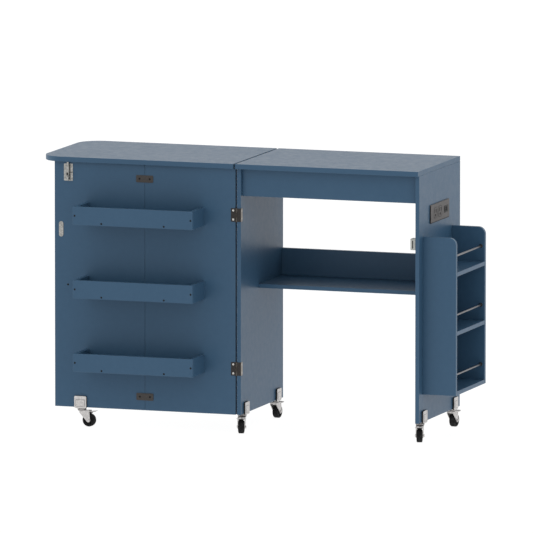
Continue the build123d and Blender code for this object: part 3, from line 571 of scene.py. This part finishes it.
def add_wheel(name):
    """Wheel with a grooved tread, a rim, pockets in its hub and a boss."""
    place, trail, height = caster_frame(name)
    half = [(2.56, 9.0), (5.2, 9.0), (5.9, 8.6), (6.4, 7.4), (7.2, 7.0), (7.8, 6.9), (12.8, 6.9),
            (13.4, 7.0), (14.0, 7.3), (14.5, 8.3), (15.1, 8.5), (17.2, 8.4), (18.6, 7.7),
            (19.2, 6.9), (19.5, 5.9), (19.5, 5.2), (19.5, 3.9), (19.5, 2.6), (19.5, 1.3)]
    outline = half + [(19.5, 0.0)] + [(radius, -along) for radius, along in reversed(half)]
    profile = [(radius * MM, along * MM) for radius, along in outline]
    across = Matrix.Translation((trail, 0, height)) @ Matrix.Rotation(math.pi / 2, 4, "X")
    bm = bmesh.new()
    spin(bm, profile, WHEEL_STEPS, place @ across, wheel_shape)
    made = piece(f"{name}_wheel_tyre", bm, "wheel_black", f"{name}_wheel", 30.0)
    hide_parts(f"{name}_caster_wheel")


def add_swivel(name):
    """Ball race between two dark seals, round the kingpin over the fork."""
    place = caster_frame(name)[0]
    race = [(12.05, 50.4), (13.0, 50.4), (13.5, 50.8), (13.7, 51.6), (13.5, 52.4), (13.0, 52.8),
            (12.05, 52.8)]
    bm = bmesh.new()
    spin(bm, [(radius * MM, height * MM) for radius, height in race], 64, place)
    piece(f"{name}_swivel_race", bm, "zinc_steel", f"{name}_caster")
    bm = bmesh.new()
    for low, high in ((48.6, 50.3), (52.9, 54.6)):
        seal = [(12.05, low), (12.6, low), (13.1, low + 0.4), (13.1, high - 0.4), (12.6, high),
                (12.05, high)]
        spin(bm, [(radius * MM, height * MM) for radius, height in seal], 64, place)
    piece(f"{name}_swivel_seals", bm, "insert_plastic", f"{name}_caster")


def add_brake(name):
    """Bent brake tab with grip ribs, rolled round its pin, and the shoe under it."""
    place = caster_frame(name)[0]
    pivot = place.inverted() @ Vector(JOINTS[f"{name}_brake_press"]["pos_m"])
    place = place @ Matrix.Translation((pivot.x, 0, pivot.z))
    # in millimetres: radius of the roll, sheet, half its width at the roll and at the tail
    barrel = 2.7
    thick = 1.5
    rolled = 8.9
    widest = 13.0

    def lift(along):
        """Rise of the tail over the roll, from the neck to its tip."""
        return barrel + 2.2 * (max(0.0, along - 6.0) / 16.0) ** 2

    # along the tab, up, and half its width there
    path = [(barrel * math.sin(math.radians(turn)), barrel * math.cos(math.radians(turn)), rolled)
            for turn in range(-150, 1, 30)]
    for along in (4.0, 6.0, 7.5, 9.0, 11.0, 13.5, 16.0, 18.5, 20.5, 22.0):
        flare = min(1.0, max(0.0, (along - 6.0) / 3.0))
        tip = max(0.0, along - 19.0) / 3.0
        path.append((along, lift(along), rolled + (widest - rolled) * flare - 3.5 * tip ** 2))
    bm = bmesh.new()
    rows = []
    for index, (along, up, edge) in enumerate(path):
        after = path[min(index + 1, len(path) - 1)]
        before = path[max(index - 1, 0)]
        run = Vector((after[0] - before[0], 0, after[1] - before[1])).normalized()
        outer = Vector((along, 0, up))
        inner = outer - Vector((-run.z, 0, run.x)) * thick
        row = []
        for across, point in ((-edge, inner), (edge, inner), (edge, outer), (-edge, outer)):
            row.append(bm.verts.new(place @ ((point + Vector((0, across, 0))) * MM)))
        rows.append(row)
    for row, beyond in zip(rows, rows[1:]):
        for index in range(4):
            other = (index + 1) % 4
            bm.faces.new((row[index], row[other], beyond[other], beyond[index]))
    bm.faces.new(rows[0])
    bm.faces.new(rows[-1])
    bmesh.ops.recalc_face_normals(bm, faces=bm.faces)
    sharp = [edge for edge in bm.edges if edge.calc_face_angle(0) > math.radians(50)]
    bmesh.ops.bevel(bm, geom=sharp, offset=0.3 * MM, segments=2, profile=0.5, affect="EDGES")
    for along in (12.0, 15.0, 18.0):
        low = Vector((along - 0.6, -9.5, lift(along) - 0.4))
        high = Vector((along + 0.6, 9.5, lift(along) + 0.5))
        bevelled_block(bm, low * MM, high * MM, place, 0.3 * MM)
    tab = piece(f"{name}_brake_tab", bm, "zinc_steel", f"{name}_brake")
    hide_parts(f"{name}_caster_brake_lever")

    bm = bmesh.new()
    bevelled_block(bm, Vector((0.8, -7.0, -3.2)) * MM, Vector((8.0, 7.0, 1.1)) * MM, place,
                   0.8 * MM, 3)
    piece(f"{name}_brake_shoe", bm, "wheel_black", f"{name}_brake")


def add_casters():
    for name in CASTERS:
        add_wheel(name)
        add_swivel(name)
        add_brake(name)


# a plate's own X, Y and Z (out of its face) where it faces the table's right or its front
FACES_RIGHT = Matrix(((0, 0, 1, 0), (1, 0, 0, 0), (0, 1, 0, 0), (0, 0, 0, 1)))
FACES_FRONT = Matrix(((1, 0, 0, 0), (0, 0, -1, 0), (0, 1, 0, 0), (0, 0, 0, 1)))


BRACKET_WIDTH = 38.0 * MM
BRACKET_HEIGHT = 36.0 * MM
BRACKET_DEPTH = 6.6 * MM            # from the board's face to the embossing


def add_bracket_trim(name, node, body, turn):
    """Black frames that paint the shade under the sides of each bracket's plate, and thin black rings that paint
    the shade in the crease of its embossing.
    """
    shade_pads = bmesh.new()
    crease_shades = bmesh.new()
    for low, high in islands(node):
        middle = (low + high) / 2
        if turn is FACES_RIGHT:
            back = Vector((high.x - BRACKET_DEPTH, middle.y, high.z))
        else:
            back = Vector((middle.x, low.y + BRACKET_DEPTH, high.z))
        place = Matrix.Translation(back) @ turn
        down = Matrix.Translation((0, -BRACKET_HEIGHT / 2, 0))
        # painted shade: a black frame between the board and the plate's sides
        stamped(shade_pads, [rounded_rectangle(BRACKET_WIDTH + 0.6 * MM, BRACKET_HEIGHT + 0.6 * MM,
                                         4.3 * MM),
                       rounded_rectangle(BRACKET_WIDTH - 2.0 * MM, BRACKET_HEIGHT - 2.0 * MM,
                                         3.0 * MM)],
                4.9 * MM, 0.25 * MM, place @ down)
        up = Matrix.Translation((0, -21.0 * MM, 5.95 * MM))
        # painted shade: a thin black ring in the crease of the embossing
        stamped(crease_shades, [rounded_rectangle(28.4 * MM, 21.4 * MM, 3.1 * MM),
                          rounded_rectangle(26.8 * MM, 19.8 * MM, 2.4 * MM)],
                0.25 * MM, 0.05 * MM, place @ up)
    piece(f"{name}_pads", shade_pads, "insert_plastic", body)
    piece(f"{name}_creases", crease_shades, "insert_plastic", body)


# ------------------------------------------------------------------ outlet
def rounded_rectangle(width, height, radius, steps=5):
    """Points round a rectangle with round corners, centred at the origin."""
    points = []
    for corner in range(4):
        sign_x = 1 if corner in (0, 3) else -1
        sign_y = 1 if corner in (0, 1) else -1
        for step in range(steps + 1):
            angle = math.pi / 2 * (corner + step / steps)
            points.append((sign_x * (width / 2 - radius) + radius * math.cos(angle),
                           sign_y * (height / 2 - radius) + radius * math.sin(angle)))
    return points


def circle(x, y, radius, steps=24):
    return [(x + radius * math.cos(2 * math.pi * step / steps),
             y + radius * math.sin(2 * math.pi * step / steps)) for step in range(steps)]


def shifted(points, dx, dy):
    return [(x + dx, y + dy) for x, y in points]


def stamped(bm, loops, thick, round_over, place):
    """Plate with holes: the first loop is its outline and the others are cut out of it."""
    curve = bpy.data.curves.new("outline", "CURVE")
    curve.dimensions = "2D"
    curve.fill_mode = "BOTH"
    curve.extrude = thick / 2 - round_over
    curve.bevel_depth = round_over
    curve.bevel_resolution = 2
    curve.offset = -round_over
    for loop in loops:
        spline = curve.splines.new("POLY")
        spline.points.add(len(loop) - 1)
        for point, (x, y) in zip(spline.points, loop):
            point.co = (x, y, 0, 1)
        spline.use_cyclic_u = True
    shape = bpy.data.objects.new("outline", curve)
    bpy.context.scene.collection.objects.link(shape)
    graph = bpy.context.evaluated_depsgraph_get()
    mesh = bpy.data.meshes.new_from_object(shape.evaluated_get(graph))
    mesh.transform(place @ Matrix.Translation((0, 0, thick / 2)))
    bm.from_mesh(mesh)
    bpy.data.objects.remove(shape)
    bpy.data.curves.remove(curve)
    bpy.data.meshes.remove(mesh)


NARROWEST_SOCKET = 20.0 * MM        # an insert narrower than this is a charging port
BLADE_SLOT = (5.0 * MM, 11.0 * MM)
BLADE_PLACE = (7.2 * MM, 5.0 * MM)  # sideways and up from the socket's middle
EARTH_RADIUS = 4.8 * MM
EARTH_DROP = 8.0 * MM
PORT_BLOCK = (40.0 * MM, 21.0 * MM)
PORT_BLOCK_SHIFT = 6.5 * MM         # from the middle of the ports to the middle of the block


def sunk(place, depth):
    """Placement below another along its Z axis."""
    return place @ Matrix.Translation((0, 0, -depth))


def socket_face(bm, rims, outline, place):
    """Face of a mains socket with its three holes, and the dark rim round it."""
    aside, above = BLADE_PLACE
    blade = rounded_rectangle(*BLADE_SLOT, 0.8 * MM, 2)
    holes = [shifted(blade, -aside, above), shifted(blade, aside, above),
             circle(0, -EARTH_DROP, EARTH_RADIUS)]
    stamped(bm, [outline, *holes], 3.0 * MM, 0.35 * MM, sunk(place, 2.9 * MM))
    rim = rounded_rectangle(31.0 * MM, 32.0 * MM, 6.0 * MM)
    inside = rounded_rectangle(29.0 * MM, 30.0 * MM, 5.2 * MM)
    stamped(rims, [rim, inside], 0.9 * MM, 0.25 * MM, sunk(place, 0.3 * MM))


def port_face(bm, outline, place):
    """Face of a charging port with the tongue inside it."""
    port = rounded_rectangle(4.8 * MM, 12.2 * MM, 0.5 * MM, 2)
    stamped(bm, [outline, port], 3.0 * MM, 0.3 * MM, sunk(place, 2.8 * MM))
    bevelled_block(bm, (-1.6 * MM, -5.2 * MM, -3.4 * MM), (0, 5.2 * MM, -0.8 * MM), place,
                   0.2 * MM)


def port_block(bm, boxes, face_x):
    """Dark raised block round the charging ports."""
    middle = (boxes[0][0] + boxes[-1][1]) / 2
    middle = Vector((face_x, middle.y + PORT_BLOCK_SHIFT, middle.z))
    cuts = [shifted(rounded_rectangle(high.y - low.y, high.z - low.z, 1.0 * MM),
                    (low.y + high.y) / 2 - middle.y, (low.z + high.z) / 2 - middle.z)
            for low, high in boxes]
    stamped(bm, [rounded_rectangle(*PORT_BLOCK, 2.5 * MM), *cuts], 0.7 * MM, 0.2 * MM,
            sunk(Matrix.Translation(middle) @ FACES_RIGHT, 0.2 * MM))


def add_outlet():
    """Socket faces with wide openings, port faces, black blocks that paint the shade inside the openings, and a
    black frame that paints the plate's shadow below and left of it.
    """
    plate_low, plate_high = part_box("outlet_face_plate")
    plate_mid = (plate_low + plate_high) / 2
    sockets = bmesh.new()
    ports = bmesh.new()
    hole_shades = bmesh.new()
    port_boxes = []
    for low, high in islands("outlet_inserts"):
        width = high.y - low.y
        tall = high.z - low.z
        centre = (low + high) / 2
        place = Matrix.Translation((plate_high.x, centre.y, centre.z)) @ FACES_RIGHT
        outline = rounded_rectangle(width, tall, 1.0 * MM)
        if width > NARROWEST_SOCKET:
            socket_face(sockets, ports, outline, place)
        else:
            port_face(ports, outline, place)
            port_boxes.append((low, high))
        # painted shade: black blocks behind the socket and port faces darken their openings
        bevelled_block(hole_shades, (-width / 2 + MM, -tall / 2 + MM, -8.0 * MM),
                       (width / 2 - MM, tall / 2 - MM, -3.2 * MM), place, 0.4 * MM)
    made = piece("outlet_socket_faces", sockets, "outlet_plastic", "cabinet")
    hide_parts("outlet_inserts")
    port_block(ports, port_boxes, plate_high.x)
    piece("outlet_port_faces", ports, "insert_plastic", "cabinet")
    piece("outlet_hole_shades", hole_shades, "wheel_black", "cabinet")

    # painted shadow: a black frame, set lower than the plate, that shows below and left of it
    plate_shadow = bmesh.new()
    width = plate_high.y - plate_low.y
    tall = plate_high.z - plate_low.z
    place = Matrix.Translation((plate_low.x, plate_mid.y, plate_mid.z - 1.3 * MM)) @ FACES_RIGHT
    stamped(plate_shadow, [rounded_rectangle(width + 0.8 * MM, tall + 0.8 * MM, 2.6 * MM),
                     rounded_rectangle(width - 3.0 * MM, tall - 3.0 * MM, 2.0 * MM)],
            3.0 * MM, 0.3 * MM, place)
    piece("outlet_gasket", plate_shadow, "wheel_black", "cabinet")


# ------------------------------------------------------------------ slide bolt and catch
BARREL_RADIUS = 5.0 * MM
BOLT_SHADE_RADIUS = 3.53 * MM       # between the bolt and the barrel's bore
BOLT_AXIS_OUT = 6.0 * MM            # from the door's face
LATCH_SHEET = 1.5 * MM


def add_latch_shadows():
    """Black pieces that paint shade by the slide bolt: a bar for the notch where its finger rests, with the
    notch's shade, a shadow along its barrel's right side, and the shade on the bolt in its slot.
    """
    low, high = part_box("latch_base")
    bolt_low, bolt_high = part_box("latch_bolt")
    middle = (bolt_low.x + bolt_high.x) / 2
    edge = middle + BARREL_RADIUS
    face = high.y - LATCH_SHEET
    stop = (low.z + high.z) / 2
    bm = bmesh.new()
    # painted shade: a black bar across the plate that stands for the finger's notch and its shade
    bevelled_block(bm, (edge + MM, face - 0.4 * MM, stop - 0.9 * MM),
                   (high.x - 0.3 * MM, face + 0.4 * MM, stop + 0.9 * MM), Matrix(), 0.2 * MM)
    # painted shadow: a black strip along the barrel's right side
    bevelled_block(bm, (edge, high.y - 2.1 * MM, low.z + 2.0 * MM),
                   (edge + 1.1 * MM, high.y - 1.2 * MM, high.z - 2.0 * MM), Matrix(), 0.3 * MM)
    piece("latch_shade_strips", bm, "wheel_black", "door")

    inside = BOLT_SHADE_RADIUS - 0.4 * MM
    shaft = Matrix.Translation((middle, high.y - BOLT_AXIS_OUT, low.z))
    bm = bmesh.new()
    spin(bm, [(inside, 6.0 * MM), (BOLT_SHADE_RADIUS, 6.0 * MM),
              (BOLT_SHADE_RADIUS, 34.0 * MM), (inside, 34.0 * MM)], 48, shaft)
    piece("latch_bolt_shade", bm, "wheel_black", "latch_bolt")


def add_catch_shade():
    """Black block that paints the shade in the gap between the two poles of the magnetic catch."""
    low, high = islands("magnetic_catch")[-1]
    middle = (low.x + high.x) / 2
    bm = bmesh.new()
    bevelled_block(bm, (middle - 1.8 * MM, low.y - 0.2 * MM, low.z + 2.0 * MM),
                   (middle + 1.8 * MM, low.y + 1.5 * MM, high.z - 2.0 * MM), Matrix(), 0.3 * MM)
    piece("catch_gap_painted_shade", bm, "insert_plastic", "cabinet")


# ------------------------------------------------------------------ the scene
SOFTENED = {
    "latch_base": 0.3, "strike_plate": 0.3, "joining_plates": 0.3, "door_caster_bracket": 0.4,
    "cabinet_caster_brackets": 0.4, "door_hinge_fixed_leaves": 0.2, "latch_bolt": 0.25,
    "door_hinge_moving_leaves": 0.2, "leaf_hinge_fixed_leaves": 0.2,
    "leaf_hinge_moving_leaves": 0.2, "magnetic_catch": 0.4, "rod_flanges": 0.3,
    "outlet_housing": 0.4, "outlet_cord_gland": 0.4,
}


def build():
    paint_nodes()
    for node, width in SOFTENED.items():
        soften(node, width * MM)
    for name in CASTERS:
        soften(f"{name}_caster_fork", 0.3 * MM)
        soften(f"{name}_caster_axle", 0.25 * MM)
    add_screws()
    add_casters()
    add_bracket_trim("cabinet_bracket", "cabinet_caster_brackets", "cabinet", FACES_RIGHT)
    add_bracket_trim("door_bracket", "door_caster_bracket", "door", FACES_FRONT)
    add_outlet()
    add_latch_shadows()
    add_catch_shade()


add_camera()
add_light()
add_floor()
build()
